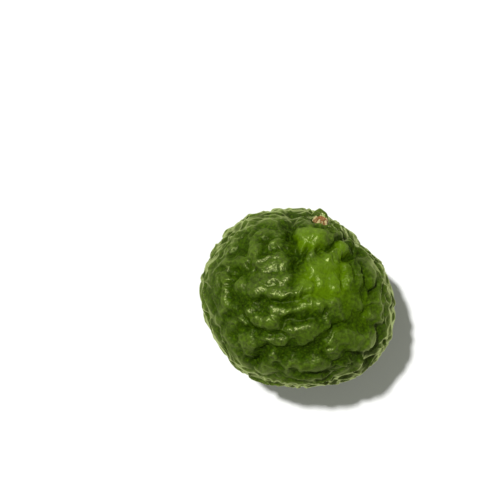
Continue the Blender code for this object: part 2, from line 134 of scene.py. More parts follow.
# Folds of the upper side: points (x, y) in mm as seen by that eye, full width in mm, height in mm
FOLDS = (
    # The collar below the stem
    (((1.6, 21.6), (4.8, 20.8)), 4.8, 1.3),
    (((7.2, 20.6), (9.6, 19.8), (11.8, 20.4)), 7.0, 2.0),
    (((4.4, 23.8), (8.0, 24.0), (11.0, 23.2)), 3.0, 1.5),
    (((13.4, 24.0), (15.0, 22.4)), 3.1, 1.0),
    # The bright knob and its tail, right of the collar
    (((15.2, 17.3), (16.4, 16.5)), 4.8, 1.4),
    (((13.8, 15.2), (9.9, 14.1)), 2.9, 2.0),
    # The pale swelling in the middle of the right half
    (((5.8, 14.4),), 5.1, 1.0),
    (((8.2, 11.6), (11.6, 10.9)), 4.1, 0.9),
    (((4.6, 10.6), (6.2, 8.6)), 3.7, 0.8),
    (((11.7, 7.2),), 3.6, 0.8),
    (((8.2, 7.0), (8.6, 4.6)), 3.6, 0.7),
    (((12.3, 3.9),), 3.7, 0.8),
    (((17.0, 10.6), (17.4, 7.0), (17.0, 3.4)), 3.7, 0.2),
    # The long rows that run across the middle
    (((-15.0, 2.1), (-12.8, 3.7), (-9.4, 2.0), (-5.0, 1.5), (-0.6, 1.6), (3.2, 3.0)), 3.6, 1.1),
    (((0.4, 3.6), (3.6, 3.2)), 4.4, 1.0),
    (((-7.6, -3.3), (-4.2, -4.2), (0.6, -4.2)), 3.8, 1.1),
    (((4.6, -2.6), (9.1, -1.6), (11.9, -1.2)), 3.9, 0.9),
    (((-13.7, -7.3), (-9.9, -8.5), (-6.4, -7.8)), 3.7, 1.1),
    (((-3.3, -10.7), (0.4, -10.3), (5.4, -9.6), (10.0, -8.4), (11.4, -6.2)), 3.9, 1.1),
    (((5.3, -12.9), (2.0, -14.6)), 2.9, 0.6),
    (((-2.2, -22.0), (3.7, -22.4), (9.6, -21.8)), 3.8, 1.3),
    (((-2.4, -25.8), (4.8, -26.4), (9.6, -25.8)), 3.4, 0.7),
    (((-9.0, -26.6), (-5.0, -27.0)), 3.1, 0.9),
    # The broad smooth lobe at the lower right, and the knobs around it
    (((13.8, -12.8), (18.2, -13.0), (22.6, -13.2), (24.8, -15.2)), 6.5, 1.0),
    (((12.4, -17.7),), 4.6, 1.0),
    (((15.8, -23.8),), 3.9, 1.0),
    (((20.2, -21.5),), 3.9, 1.0),
    (((27.6, -3.2),), 4.8, 1.1),
    (((24.0, -6.6),), 4.8, 1.0),
    (((20.6, -2.2),), 5.1, 1.0),
    (((16.8, -4.8),), 4.8, 0.8),
    # The ridges right of the pale swelling
    (((20.6, 10.4), (20.8, 5.0)), 3.7, 0.8),
    (((25.4, 8.2), (25.2, 5.0)), 3.9, 1.1),
    (((24.0, 11.6),), 3.9, 0.9),
    (((23.4, 15.4),), 3.7, 1.0),
    # The knobs of the upper left
    (((-10.1, 10.9),), 4.8, 1.1),
    (((-5.3, 12.4),), 4.4, 1.0),
    (((-14.6, 14.8), (-12.6, 16.5)), 3.6, 0.9),
    (((-19.6, 12.7),), 4.1, 0.9),
    (((-19.1, 21.2),), 3.7, 0.8),
    (((-18.7, 4.4),), 4.1, 1.0),
    (((-25.7, 6.6), (-23.2, 6.4)), 3.7, 1.0),
    (((-24.5, -0.3), (-21.8, -3.4)), 3.6, 1.0),
    (((-23.8, 1.8),), 3.2, 0.7),
    (((-11.4, 6.8), (-7.4, 6.4), (-3.0, 6.6)), 3.7, 0.9),
    (((-8.3, 25.2),), 7.3, 1.0),
    (((-12.2, 21.4), (-9.4, 21.8), (-6.5, 21.0)), 3.4, 0.8),
    (((-8.6, 17.6), (-4.4, 17.2)), 3.7, 0.8),
    # The knobs of the lower left
    (((-16.4, -13.6), (-15.6, -16.2)), 5.1, 1.1),
    (((-15.3, -4.6),), 4.1, 0.9),
    (((-5.1, -14.5),), 4.4, 1.0),
    (((-10.3, -13.4),), 4.1, 0.9),
    (((-20.6, -18.0),), 4.4, 1.0),
    (((-13.0, -24.6), (-8.6, -23.6)), 4.2, 1.0),
    (((-6.3, -20.2), (-8.8, -18.4)), 4.1, 0.9),
    # The knob behind the stem
    (((7.0, 29.0), (9.2, 28.8)), 4.0, 2.2),
)
FOLD_STEP = 0.42
FOLD_SEED = 5
FOLD_UNEVENNESS = 0.3

# Creases of the upper side: points as above, full width in mm, depth in mm
CREASES = (
    # The valley left of the stem, and the creases round the collar and the knob
    (((-1.6, 28.0), (-1.9, 23.6), (-1.5, 19.0), (-0.6, 15.4)), 4.4, 1.4),
    (((3.6, 16.8), (1.6, 13.4), (-0.8, 10.2)), 2.6, 1.3),
    (((15.6, 21.4), (12.9, 18.2), (10.2, 16.4), (8.2, 15.2), (7.4, 16.4)), 2.4, 1.8),
    (((18.8, 13.7), (15.4, 13.4), (12.0, 13.2)), 2.0, 1.2),
    # The grooves right of the pale swelling
    (((15.4, 9.0), (15.5, 3.6)), 2.0, 0.7),
    (((19.2, 16.6), (20.2, 14.4)), 2.6, 1.2),
    (((22.4, 8.4), (22.4, 1.6)), 2.6, 1.3),
    (((27.0, 4.6), (24.6, 1.8)), 2.2, 1.2),
    # The dark valleys between the long rows
    (((-21.0, 0.0), (-14.0, -1.6), (-8.0, -1.3), (-2.5, -1.4)), 3.2, 0.7),
    (((-4.0, -7.4), (0.8, -7.3), (5.7, -6.8), (9.6, -5.8)), 4.2, 0.9),
    (((12.8, -9.2), (16.8, -9.0), (22.8, -9.6)), 3.6, 1.1),
    (((-17.0, -10.6), (-11.0, -11.0), (-6.0, -10.8)), 3.6, 0.6),
    (((-3.0, -17.4), (4.0, -17.6), (8.4, -15.6)), 3.8, 0.6),
    # The creases round the smooth lobe of the lower right
    (((27.2, -9.2), (27.2, -13.2), (24.8, -17.8), (20.0, -19.0), (16.8, -18.8)), 3.0, 1.4),
    (((25.8, -19.8), (22.4, -22.0)), 2.6, 1.1),
    (((18.2, -25.0), (15.6, -26.2)), 2.4, 0.9),
    (((-10.4, -16.4), (-11.9, -18.9), (-14.6, -21.6)), 2.8, 1.5),
    (((-0.4, -24.8), (5.0, -25.3), (10.0, -24.8)), 2.2, 0.8),
    (((-21.0, 8.4), (-16.4, 8.2)), 2.6, 0.7),
)
CREASE_STEP = 0.20

# The paler, smoother patches: middle as seen from above in mm, reach each way in mm, how pale
PATCHES = (
    ((9.6, 7.0), (10.6, 9.4), 1.0),
    ((3.6, 20.0), (6.4, 4.6), 0.9),
    ((15.6, 16.6), (3.6, 3.4), 0.9),
    ((5.0, -1.0), (7.0, 4.0), 0.45),
    ((22.0, -1.0), (8.0, 10.0), 0.36),
    ((17.0, -13.0), (12.0, 6.0), 0.17),
)
PATCH_FRAY = 0.2
PATCH_FRAY_SCALE = 5.0

# Where a patch starts to fade and where it ends, in shares of its reach
PATCH_FADE = (0.55, 1.2)

# The small winding ridges: how wide, as a share of the noise's height, and how deep sunk, of their own
WRINKLE_WIDTH = 0.2
WRINKLE_SINK = 0.5

# How high they are in one place and another: on average, how quickly that changes, the least and most
WRINKLE_VIGOUR = 0.7
VIGOUR_SCALE = 4.3
VIGOUR_RANGE = (0.15, 1.3)

# What is left of them in a deep groove, from which height to which they fade, and how much a patch takes
WRINKLES_IN_GROOVES = 0.25
WRINKLE_FADE = (-0.5 * MM, 0.6 * MM)
PATCH_SMOOTHING = 0.4

# The stem button and the hollow that it stands in
BUTTON_FROM_MIDDLE = 29.0 * MM
SOCKET_RADIUS = 3.0 * MM
SOCKET_EDGE = 0.35 * MM
SOCKET_FLOOR = 28.5 * MM

STEM_AXIS = np.array((
    math.sin(STEM_TURN) * math.cos(STEM_LIFT),
    math.cos(STEM_TURN) * math.cos(STEM_LIFT),
    math.sin(STEM_LIFT),
))
DOWN = np.array((0.0, 0.0, -1.0))

# How many directions are worked out at a time
SLICE = 4096


class FruitSizes(bpy.types.PropertyGroup):
    """The driving sizes of the rind."""

    equator_radius: FloatProperty(
        name="Equator radius",
        description="From the middle to the plain body, square to the stem's axis",
        default=31.6 * MM, unit="LENGTH", precision=4,
    )
    polar_radius: FloatProperty(
        name="Polar radius",
        description="From the middle to the plain body, along the stem's axis",
        default=28.5 * MM, unit="LENGTH", precision=4,
    )
    cells: IntProperty(
        name="Cells",
        description="Square cells along each edge of the cube that the ball is made from",
        default=128, min=8, max=128,
    )
    wrinkle_spacing: FloatProperty(
        name="Wrinkle spacing",
        description="Size of the bends of the small winding ridges",
        default=3.6 * MM, unit="LENGTH", precision=4,
    )
    wrinkle_height: FloatProperty(
        name="Wrinkle height",
        description="Height of the small winding ridges over the creases between them",
        default=0.9 * MM, unit="LENGTH", precision=5,
    )
    gland_spacing: FloatProperty(
        name="Gland spacing",
        description="From one oil gland to the next",
        default=0.85 * MM, unit="LENGTH", precision=4,
    )


class RindColours(bpy.types.PropertyGroup):
    """The colours of the rind, among them painted shade for its grooves and painted light for its crests.
    """

    # Painted shade: the rind darkened deep between the warts and in the stem's hollow; the same dark green
    # also tones the darker clouds
    dark_tone_and_groove_shade: FloatVectorProperty(
        name="Groove", description="Deep between the warts",
        default=(0.014, 0.034, 0.0003), subtype="COLOR", min=0.0, max=1.0,
    )
    body: FloatVectorProperty(
        name="Body", description="The rind's own green",
        default=(0.0217, 0.0495, 0.0004), subtype="COLOR", min=0.0, max=1.0,
    )
    # Painted light: the tops of the warts made paler, as if lit
    crest: FloatVectorProperty(
        name="Crest", description="The tops of the warts",
        default=(0.043, 0.085, 0.0008), subtype="COLOR", min=0.0, max=1.0,
    )
    patch: FloatVectorProperty(
        name="Patch", description="The paler patch that ripened first",
        default=(0.086, 0.165, 0.0005), subtype="COLOR", min=0.0, max=1.0,
    )
    gland: FloatVectorProperty(
        name="Gland", description="The rind over an oil gland",
        default=(0.075, 0.128, 0.002), subtype="COLOR", min=0.0, max=1.0,
    )
    gloss: FloatVectorProperty(
        name="Gloss", description="The light that the waxy rind throws back",
        default=(0.9, 0.98, 0.42), subtype="COLOR", min=0.0, max=1.0,
    )


class StemLooks(bpy.types.PropertyGroup):
    """The sizes and colours of the dry stem button."""

    calyx_radius: FloatProperty(
        name="Calyx radius", description="From the stem's axis to the middle of a lobe's edge",
        default=2.45 * MM, unit="LENGTH", precision=4,
    )
    calyx_height: FloatProperty(
        name="Calyx height", description="From the floor of the hollow to the top of the calyx",
        default=1.2 * MM, unit="LENGTH", precision=4,
    )
    crown_height: FloatProperty(
        name="Crown height", description="How far the ribs of the calyx stand up round the stem",
        default=1.0 * MM, unit="LENGTH", precision=4,
    )
    lobes: IntProperty(name="Lobes", description="Lobes of the calyx", default=5, min=3, max=8)
    stub_radius: FloatProperty(
        name="Stem radius", description="Radius of the broken stem",
        default=1.3 * MM, unit="LENGTH", precision=4,
    )
    stub_height: FloatProperty(
        name="Stem height", description="From the floor of the hollow to the broken end",
        default=1.8 * MM, unit="LENGTH", precision=4,
    )
    calyx_colour: FloatVectorProperty(
        name="Calyx", description="The dry lobes",
        default=(0.46, 0.38, 0.17), subtype="COLOR", min=0.0, max=1.0,
    )
    calyx_shade: FloatVectorProperty(
        name="Calyx shade", description="The dirt and dry skin in the calyx's dips",
        default=(0.20, 0.095, 0.02), subtype="COLOR", min=0.0, max=1.0,
    )
    wood_colour: FloatVectorProperty(
        name="Broken wood", description="The orange-brown broken end",
        default=(0.28, 0.115, 0.028), subtype="COLOR", min=0.0, max=1.0,
    )
    wood_pale: FloatVectorProperty(
        name="Pale fibres", description="The cream fibres in the broken end",
        default=(0.50, 0.38, 0.17), subtype="COLOR", min=0.0, max=1.0,
    )


class StageLooks(bpy.types.PropertyGroup):
    """The floor, the light and the camera."""

    floor_colour: FloatVectorProperty(
        name="Floor", description="The plain floor",
        default=(0.93, 0.93, 0.93), subtype="COLOR", min=0.0, max=1.0,
    )
    lamp_power: FloatProperty(name="Lamp power", description="In watts", default=416.0, min=0.0)
    lamp_size: FloatProperty(
        name="Lamp size", description="The lamp's width, which softens the shadow's edge",
        default=0.36, unit="LENGTH",
    )
    lamp_distance: FloatProperty(
        name="Lamp distance", description="From the floor below the fruit to the lamp",
        default=6.4, unit="LENGTH",
    )
    lamp_height: FloatProperty(
        name="Lamp height", description="Angle of the lamp over the floor",
        default=math.radians(68.5), subtype="ANGLE",
    )
    lamp_side: FloatProperty(
        name="Lamp side", description="Turn of the lamp from +X, seen from above",
        default=math.radians(135.0), subtype="ANGLE",
    )
    wall_colour: FloatVectorProperty(
        name="Wall colour", description="Colour of the even light from all round",
        default=(0.97, 1.0, 0.88), subtype="COLOR", min=0.0, max=1.0,
    )
    wall_brightness: FloatProperty(
        name="Wall brightness", description="Strength of the even light from all round",
        default=0.27, min=0.0,
    )
    view_width: FloatProperty(
        name="View width", description="What the picture takes in, at the height of the fruit's middle",
        default=168.4 * MM, unit="LENGTH", precision=4,
    )
    lens: FloatProperty(
        name="Lens", description="The camera's focal length in millimetres", default=100.0, min=10.0,
    )


def unit(vectors):
    """The same directions, one long."""
    vectors = np.asarray(vectors, float)
    return vectors / np.linalg.norm(vectors, axis=-1, keepdims=True)


def angle_from(directions, axis):
    """The angle between each direction and the axis."""
    return np.arccos(np.clip(directions @ axis, -1.0, 1.0))


def bell(away, spread):
    """1 in the middle, fading to 0 within about twice the spread."""
    return np.exp(-((away / spread) ** 2))


def smooth_step(values, low, high):
    """0 below low, 1 above high, and smooth in between."""
    share = np.clip((values - low) / (high - low), 0.0, 1.0)
    return share * share * (3.0 - 2.0 * share)


def body_radius(directions, sizes):
    """From the middle to the plain body, without warts, along each direction."""
    along = directions @ STEM_AXIS
    across = np.sqrt(np.clip(1.0 - along**2, 0.0, 1.0))
    radius = 1.0 / np.sqrt((along / sizes.polar_radius) ** 2 + (across / sizes.equator_radius) ** 2)
    for centre, spread, height in BROAD_FORMS:
        radius = radius + height * bell(angle_from(directions, unit(centre)), math.radians(spread))
    return radius


def seen_from_above(x_mm, y_mm, sizes):
    """The direction in which the upper side shows the point (x, y) to the eye above it."""
    spot = np.array((x_mm, y_mm)) * MM
    reach = sizes.equator_radius
    height = reach
    for _ in range(SIGHT_STEPS):
        nearness = 1.0 - height / EYE_OVER_MIDDLE
        across = EYE_BESIDE_MIDDLE + (spot - EYE_BESIDE_MIDDLE) * nearness
        height = math.sqrt(max(reach**2 - across @ across, (LEAST_HEIGHT_SHARE * reach) ** 2))
        direction = unit((*across, height))
        reach = float(body_radius(direction, sizes))
    return direction


def shown_above(directions, sizes):
    """The point (x, y) in mm that each direction shows to the eye above, on a plain ball."""
    points = directions * sizes.equator_radius
    nearness = 1.0 - points[:, 2:] / EYE_OVER_MIDDLE
    return (EYE_BESIDE_MIDDLE + (points[:, :2] - EYE_BESIDE_MIDDLE) / nearness) / MM


def round_the_stem(direction):
    """The tangent at this direction that runs round the stem's axis, as a line of latitude does."""
    return unit(np.cross(STEM_AXIS, direction))


def noise_values(directions, scale, shift=(0.0, 0.0, 0.0)):
    """Smooth noise at each direction, about -1 to 1. Each shift gives another noise."""
    shift = Vector(shift)
    return np.array([noise.noise(Vector(direction) * scale + shift) for direction in directions])


def noise_vectors(directions, scale):
    """Three noises at each direction, as a vector."""
    return np.stack([noise_values(directions, scale, shift) for shift in NOISE_SHIFTS], axis=1)


def wandered(directions, sizes):
    """Directions shifted sideways by smooth noise, so that no outline on the rind runs true."""
    broad = noise_vectors(directions, WANDER_SCALE) * WANDER_REACH
    small = noise_vectors(directions, SMALL_WANDER_SCALE) * SMALL_WANDER_REACH
    return unit(directions + (broad + small) / sizes.equator_radius)


def row_of_domes(points, width_mm, height_mm, step_share, sizes, rng=None):
    """A fold or a crease: round domes a short step apart over the body, through its points."""
    corners = wandered(np.array([seen_from_above(*point, sizes) for point in points]), sizes)
    step = width_mm * step_share * MM / sizes.equator_radius
    centres = []
    for start, end in zip(corners, corners[1:]):
        count = max(1, round(float(angle_from(start, end)) / step))
        centres += [unit(start + (end - start) * i / count) for i in range(count)]
    centres.append(corners[-1])
    domes = []
    for centre in centres:
        growth = 1.0 + (rng.uniform(-FOLD_UNEVENNESS, FOLD_UNEVENNESS) if rng else 0.0)
        half = 0.5 * width_mm * MM * growth
        domes.append((centre, round_the_stem(centre), half, half, height_mm * MM * growth))
    return domes


def clear_of(direction, domes, margin, sizes):
    """Whether this direction is outside every one of these domes, by the margin."""
    centres = np.array([dome[0] for dome in domes])
    halves = np.array([dome[3] for dome in domes])
    distance = sizes.equator_radius * angle_from(centres, direction)
    return bool((distance > halves + margin).all())


def scattered_warts(folds, creases, sizes):
    """Long warts all over the ball, an even distance apart, turned roughly round the stem's axis."""
    rng = np.random.default_rng(WART_SEED)
    golden_turn = math.pi * (3.0 - math.sqrt(5.0))
    spacing = math.sqrt(4.0 * math.pi / WART_COUNT)
    warts = []
    for i in range(WART_COUNT):
        height = 1.0 - 2.0 * (i + 0.5) / WART_COUNT
        ring = math.sqrt(1.0 - height**2)
        spot = np.array((ring * math.cos(i * golden_turn), ring * math.sin(i * golden_turn), height))
        centre = unit(spot + rng.normal(0.0, WART_SIDE_STEP * spacing, 3))
        half_length = rng.uniform(*WART_HALF_LENGTH)
        half_width = rng.uniform(*WART_HALF_WIDTH)
        rise = rng.uniform(*WART_HEIGHT)
        turn = rng.normal(0.0, WART_TURN_SPREAD)
        along = round_the_stem(centre)
        across = np.cross(centre, along)
        along = math.cos(turn) * along + math.sin(turn) * across
        clear = clear_of(centre, folds, CLEAR_OF_FOLDS, sizes)
        if clear and clear_of(centre, creases, CLEAR_OF_CREASES, sizes):
            warts.append((centre, along, half_length, half_width, rise))
    return warts


def height_of(domes, directions, sizes):
    """Height of the highest dome at each direction, with rounded meetings; the groove floor between."""
    centres, alongs = (np.array([dome[i] for dome in domes]) for i in (0, 1))
    half_length, half_width, rise = (np.array([dome[i] for dome in domes]) for i in (2, 3, 4))
    acrosses = np.cross(centres, alongs)
    u = directions @ alongs.T * (sizes.equator_radius / (DOME_SPREAD * half_length))
    v = directions @ acrosses.T * (sizes.equator_radius / (DOME_SPREAD * half_width))
    dome = rise - (rise - GROOVE_FLOOR) * (u * u + v * v) ** (0.5 * DOME_POWER)
    reached = (directions @ centres.T > FACING_LIMIT) & (dome > GROOVE_FLOOR - rise)
    meeting = np.where(reached, np.exp(MEETING_SHARPNESS * np.where(reached, dome, 0.0)), 0.0)
    floor = math.exp(MEETING_SHARPNESS * GROOVE_FLOOR)
    return np.log(floor + meeting.sum(axis=1)) / MEETING_SHARPNESS


def depth_of(creases, directions, sizes):
    """Depth of the deepest crease at each direction, with sloping sides."""
    centres = np.array([crease[0] for crease in creases])
    half_width, depth = (np.array([crease[i] for crease in creases]) for i in (3, 4))
    across = sizes.equator_radius * np.sqrt(np.clip(2.0 - 2.0 * directions @ centres.T, 0.0, None))
    return (depth * bell(across, half_width)).max(axis=1)


def in_slices(measure, domes, directions, sizes):
    """What measure gives for all directions, worked out a slice at a time to spare memory."""
    slices = [directions[i:i + SLICE] for i in range(0, len(directions), SLICE)]
    return np.concatenate([measure(domes, part, sizes) for part in slices])


def patch_share(directions, sizes):
    """How far the rind is part of a paler, smoother patch, from 0 to 1, with frayed edges."""
    fray = PATCH_FRAY * noise_values(directions, PATCH_FRAY_SCALE)
    share = np.zeros(len(directions))
    for middle, reach, paleness in PATCHES:
        from_middle = (shown_above(directions, sizes) - middle) / reach
        away = np.linalg.norm(from_middle, axis=1) + fray
        share = np.maximum(share, paleness * (1.0 - smooth_step(away, *PATCH_FADE)))
    return share * (directions[:, 2] > 0.0)


def wrinkle_height(directions, patch, sizes):
    """Small winding ridges, in some places higher than in others, and lower on the paler patches."""
    depth = noise_values(directions, sizes.equator_radius / sizes.wrinkle_spacing)
    ridge = bell(depth, WRINKLE_WIDTH) - WRINKLE_SINK
    vigour = WRINKLE_VIGOUR + noise_values(directions, VIGOUR_SCALE)
    smoothing = 1.0 - PATCH_SMOOTHING * patch
    return sizes.wrinkle_height * ridge * np.clip(vigour, *VIGOUR_RANGE) * smoothing


def rind_shape(directions, sizes):
    """The rind's points, and for each its relief over the plain body and its share of the patch."""
    rng = np.random.default_rng(FOLD_SEED)
    folds = [dome for fold in FOLDS for dome in row_of_domes(*fold, FOLD_STEP, sizes, rng)]
    creases = [dome for crease in CREASES for dome in row_of_domes(*crease, CREASE_STEP, sizes)]
    warts = scattered_warts(folds, creases, sizes)
    swayed = wandered(directions, sizes)
    raised = in_slices(height_of, folds + warts, swayed, sizes)
    sunk = in_slices(depth_of, creases, swayed, sizes)
    patch = patch_share(directions, sizes)
    on_warts = smooth_step(raised - sunk, *WRINKLE_FADE)
    wrinkles = wrinkle_height(swayed, patch, sizes)
    wrinkles = wrinkles * (WRINKLES_IN_GROOVES + (1.0 - WRINKLES_IN_GROOVES) * on_warts)
    rest = bell(angle_from(directions, DOWN), REST_SPREAD)
    uneven = UNEVENNESS * noise_values(directions, UNEVEN_SCALE)
    relief = (raised - sunk + wrinkles + uneven) * (1.0 - rest) + REST_RISE * rest
    off_stem = angle_from(directions, STEM_AXIS)
    hollow = STEM_HOLLOW_DEPTH * bell(off_stem, STEM_HOLLOW_SPREAD)
    hollow = hollow + BLOSSOM_HOLLOW_DEPTH * bell(math.pi - off_stem, BLOSSOM_HOLLOW_SPREAD)
    radius = body_radius(directions, sizes) + relief - hollow
    walls = smooth_step(off_stem * BUTTON_FROM_MIDDLE, SOCKET_RADIUS, SOCKET_RADIUS + SOCKET_EDGE)
    sunken = SOCKET_FLOOR + (radius - SOCKET_FLOOR) * walls
    radius = np.where(walls < 1.0, np.minimum(radius, sunken), radius)
    points = directions * radius[:, None]
    points[:, 2] = np.maximum(points[:, 2] + REST_HEIGHT, 0.0)
    # The relief kept for the finish leaves out the unevenness and takes in the hollows, so painted shade
    # also darkens the stem's hollow
    return points, (relief - uneven - hollow) / MM, patch


def ball_of_cells(cells):
    """A ball made from a cube: each face in cells by cells squares of nearly even size, one in radius."""
    ball = bmesh.new()
    bmesh.ops.create_cube(ball, size=2.0)
    bmesh.ops.subdivide_edges(ball, edges=ball.edges[:], cuts=cells - 1, use_grid_fill=True)
    for vert in ball.verts:
        vert.co = Vector([math.tan(c * math.pi / 4.0) for c in vert.co]).normalized()
    return ball


def new_piece(name, source, finish):
    """A smooth-shaded object of this name, from a bmesh that it uses up, with its finish."""
    mesh = bpy.data.meshes.new(name)
    source.to_mesh(mesh)
    source.free()
    mesh.shade_smooth()
    mesh.materials.append(finish)
    piece = bpy.data.objects.new(name, mesh)
    bpy.context.scene.collection.objects.link(piece)
    return piece


def keep_values(mesh, name, values):
    """Keeps one number a point in the mesh, for the finish to read."""
    mesh.attributes.new(name, "FLOAT", "POINT").data.foreach_set("value", np.asarray(values, np.float32))


def stem_matrix(distance):
    """Places +Z along the stem's axis, this far from the middle of the fruit."""
    turn = Vector(STEM_AXIS).to_track_quat("Z", "Y").to_matrix().to_4x4()
    middle = Matrix.Translation((0.0, 0.0, REST_HEIGHT))
    return middle @ Matrix.Translation(Vector(STEM_AXIS) * distance) @ turn


class Value:
    """A socket's value in a shader. An expression on values adds the Math nodes that work it out."""

    def __init__(self, socket):
        self.socket = socket

    def node(self, kind, settings=None, sockets=None, output=0):
        """A new node beside this value: its settings first, then its sockets' values or links."""
        return new_node(self.socket.id_data, kind, settings, sockets, output)

    def math(self, operation, *values, clamped=False):
        """A Math node's result on these values."""
        settings = {"operation": operation, "use_clamp": clamped}
        return self.node("ShaderNodeMath", settings, dict(enumerate(values)))

    def __add__(self, other):
        return self.math("ADD", self, other)

    def __sub__(self, other):
        return self.math("SUBTRACT", self, other)

    def __rsub__(self, other):
        return self.math("SUBTRACT", other, self)

    def __mul__(self, other):
        return self.math("MULTIPLY", self, other)

    __radd__ = __add__
    __rmul__ = __mul__

    def clamped(self):
        """The value, kept between 0 and 1."""
        return self.math("ADD", self, 0.0, clamped=True)

    def between(self, low, high):
        """0 where the value is at low, 1 where it is at high, and smooth in between."""
        sockets = {"Value": self, "From Min": low, "From Max": high}
        return self.node("ShaderNodeMapRange", {"interpolation_type": "SMOOTHSTEP"}, sockets)

    def times(self, colour):
        """The colour, this many times as bright."""
        sockets = {0: colour, "Scale": self}
        return self.node("ShaderNodeVectorMath", {"operation": "SCALE"}, sockets, "Vector")

    def blend(self, colour, other):
        """The first colour where the value is 0 and the other where it is 1."""
        sockets = {"Factor": self, "A": colour, "B": other}
        return self.node("ShaderNodeMix", {"data_type": "RGBA"}, sockets, "Result")


def new_node(tree, kind, settings=None, sockets=None, output=0):
    """Adds a node: its settings first, then its sockets' values or links. Returns one output's value."""
    node = tree.nodes.new(kind)
    for name, setting in (settings or {}).items():
        setattr(node, name, setting)
    for key, value in (sockets or {}).items():
        socket = find_socket(node.inputs, key)
        if isinstance(value, Value):
            tree.links.new(value.socket, socket)
        elif hasattr(value, "__len__") and socket.type == "RGBA":
            socket.default_value = (*value, 1.0)[:4]
        else:
            socket.default_value = value
    return Value(find_socket(node.outputs, output))


def find_socket(sockets, key):
    """The socket in use that has this name, or this place in the list."""
    if isinstance(key, int):
        return sockets[key]
    return next(socket for socket in sockets if socket.enabled and socket.name == key)


def new_finish(name):
    """A new material and its node tree, with only its output node."""
    finish = bpy.data.materials.new(name)
    finish.use_nodes = True
    tree = finish.node_tree
    tree.nodes.remove(tree.nodes["Principled BSDF"])
    return finish, tree


def place_on_piece(tree):
    """Where on the piece a point is, in metres."""
    return new_node(tree, "ShaderNodeTexCoord", output="Object")


def mottle(place, size, detail=2.0):
    """Cloudy noise from 0 to 1, with clouds of about this size in metres."""
    return place.node("ShaderNodeTexNoise", None, {"Vector": place, "Scale": 1.0 / size, "Detail": detail})


def cells_of(place, size):
    """Distance to the nearest of points scattered about this far apart, in shares of that distance."""
    return place.node("ShaderNodeTexVoronoi", None, {"Vector": place, "Scale": 1.0 / size})


def kept_value(tree, name):
    """The number that each point of the mesh keeps under this name."""
    return new_node(tree, "ShaderNodeAttribute", {"attribute_name": name}, output="Fac")


def bumped(height, rise, strength=1.0):
    """The surface's direction, tilted as if it rose by this height times the rise."""
    sockets = {"Strength": strength, "Distance": rise, "Height": height}
    return height.node("ShaderNodeBump", None, sockets)


def turned_away(tree, direction=None):
    """How far the surface, or this direction, is turned from the eye: 0 face on, 1 edge on."""
    sockets = {"Normal": direction} if direction else {}
    return new_node(tree, "ShaderNodeLayerWeight", None, sockets, "Facing")


def principled(tree, sockets):
    """A surface shader with these values."""
    return new_node(tree, "ShaderNodeBsdfPrincipled", None, sockets)


def put_on(tree, shader):
    """Links this shader to the material's output."""
    tree.links.new(shader.socket, tree.nodes["Material Output"].inputs["Surface"])


# What is taken from noise that runs from 0 to 1, to have it swing evenly up and down
NOISE_MIDDLE = 0.5

# Size of the rind's clouds, specks and grain, and how much fine detail is in the last two
CLOUD_SIZE = 9.0 * MM
SPECK_SIZE = 1.6 * MM
GRAIN_SIZE = 1.1 * MM
FINE_DETAIL = 3.0

# Relief in mm over which painted shade in grooves, the green, painted light on crests and a patch give way
# to each other, and how much the specks shift it
SPECK_SHIFT = 0.6
GROOVE_SHADE_TO_BODY = (-0.9, 0.4)
BODY_TO_CREST_LIGHT = (0.3, 1.3)
GROOVE_SHADE_TO_PATCH = (-1.6, 0.2)

# How clouds darken the rind and fray the patches, and how glands dot it
DARK_CLOUDS = (0.42, 0.66)
DARK_CLOUD_SHARE = 0.45
CLOUD_FRAY = 0.3
GLAND_DOTS = (0.3, 1.0)
GLAND_SHARE = 0.35

# How strongly the grain lightens and darkens the rind, and how much less it does on a patch
GRAIN_CONTRAST = 2.6
PATCH_GRAIN_LOSS = 1.6

# The small bumps: how high under the colour, how high under the gloss, and the gloss's share of each kind
BUMP_RISE = 0.16 * MM
GLOSS_BUMP_RISE = 0.14 * MM
GLOSS_GLANDS = 0.7
GLOSS_GRAIN = 1.2

# How rough the rind and its gloss are, how much smoother specks make the gloss, and its tint edge on
RIND_ROUGHNESS = 0.5
GLOSS_ROUGHNESS = 0.44
SPECK_POLISH = 0.1
GLOSS_EDGE_TINT = (0.85, 0.95, 0.75)

# How far the ball, and the rind's own relief on it, turn from the eye where the gloss starts and is full
RIM_TURN = (0.35, 0.75)
EDGE_TURN = (0.46, 0.95)

# How much gloss there is on edges at the rim, all along the rim, on crests of this relief, and everywhere
EDGE_GLOSS = 0.42
RIM_GLOSS = 0.022
CREST_GLOSS = 0.05
CREST_GLOSS_RELIEF = (0.1, 1.2)
LEAST_GLOSS = 0.01


def rind_colour(colours, height, patch, clouds, domes, grain):
    """Green, darkened by painted shade in grooves and paled by painted light on crests, yellow-green on
    patches, with glands and grain.
    """
    green = height.between(*GROOVE_SHADE_TO_BODY).blend(colours.dark_tone_and_groove_shade, colours.body)
    green = height.between(*BODY_TO_CREST_LIGHT).blend(green, colours.crest)
    green = (clouds.between(*DARK_CLOUDS) * DARK_CLOUD_SHARE).blend(green, colours.dark_tone_and_groove_shade)
    bright = (patch + (clouds - NOISE_MIDDLE) * CLOUD_FRAY).clamped() * height.between(*GROOVE_SHADE_TO_PATCH)
    green = bright.blend(green, colours.patch)
    green = (domes.between(*GLAND_DOTS) * GLAND_SHARE).blend(green, colours.gland)
    return ((grain - NOISE_MIDDLE) * (GRAIN_CONTRAST - patch * PATCH_GRAIN_LOSS) + 1.0).times(green)


def gloss_share(tree, place, height):
    """How much of the rind's surface is gloss: most on edges near the rim, some on crests."""
    middle = (0.0, 0.0, REST_HEIGHT)
    arm = place.node("ShaderNodeVectorMath", {"operation": "SUBTRACT"}, {0: place, 1: middle})
    outwards = arm.node("ShaderNodeVectorMath", {"operation": "NORMALIZE"}, {0: arm})
    rim = turned_away(tree, outwards).between(*RIM_TURN)
    edge = turned_away(tree).between(*EDGE_TURN)
    crest = height.between(*CREST_GLOSS_RELIEF)
    return rim * (edge * EDGE_GLOSS + RIM_GLOSS) + crest * CREST_GLOSS + LEAST_GLOSS


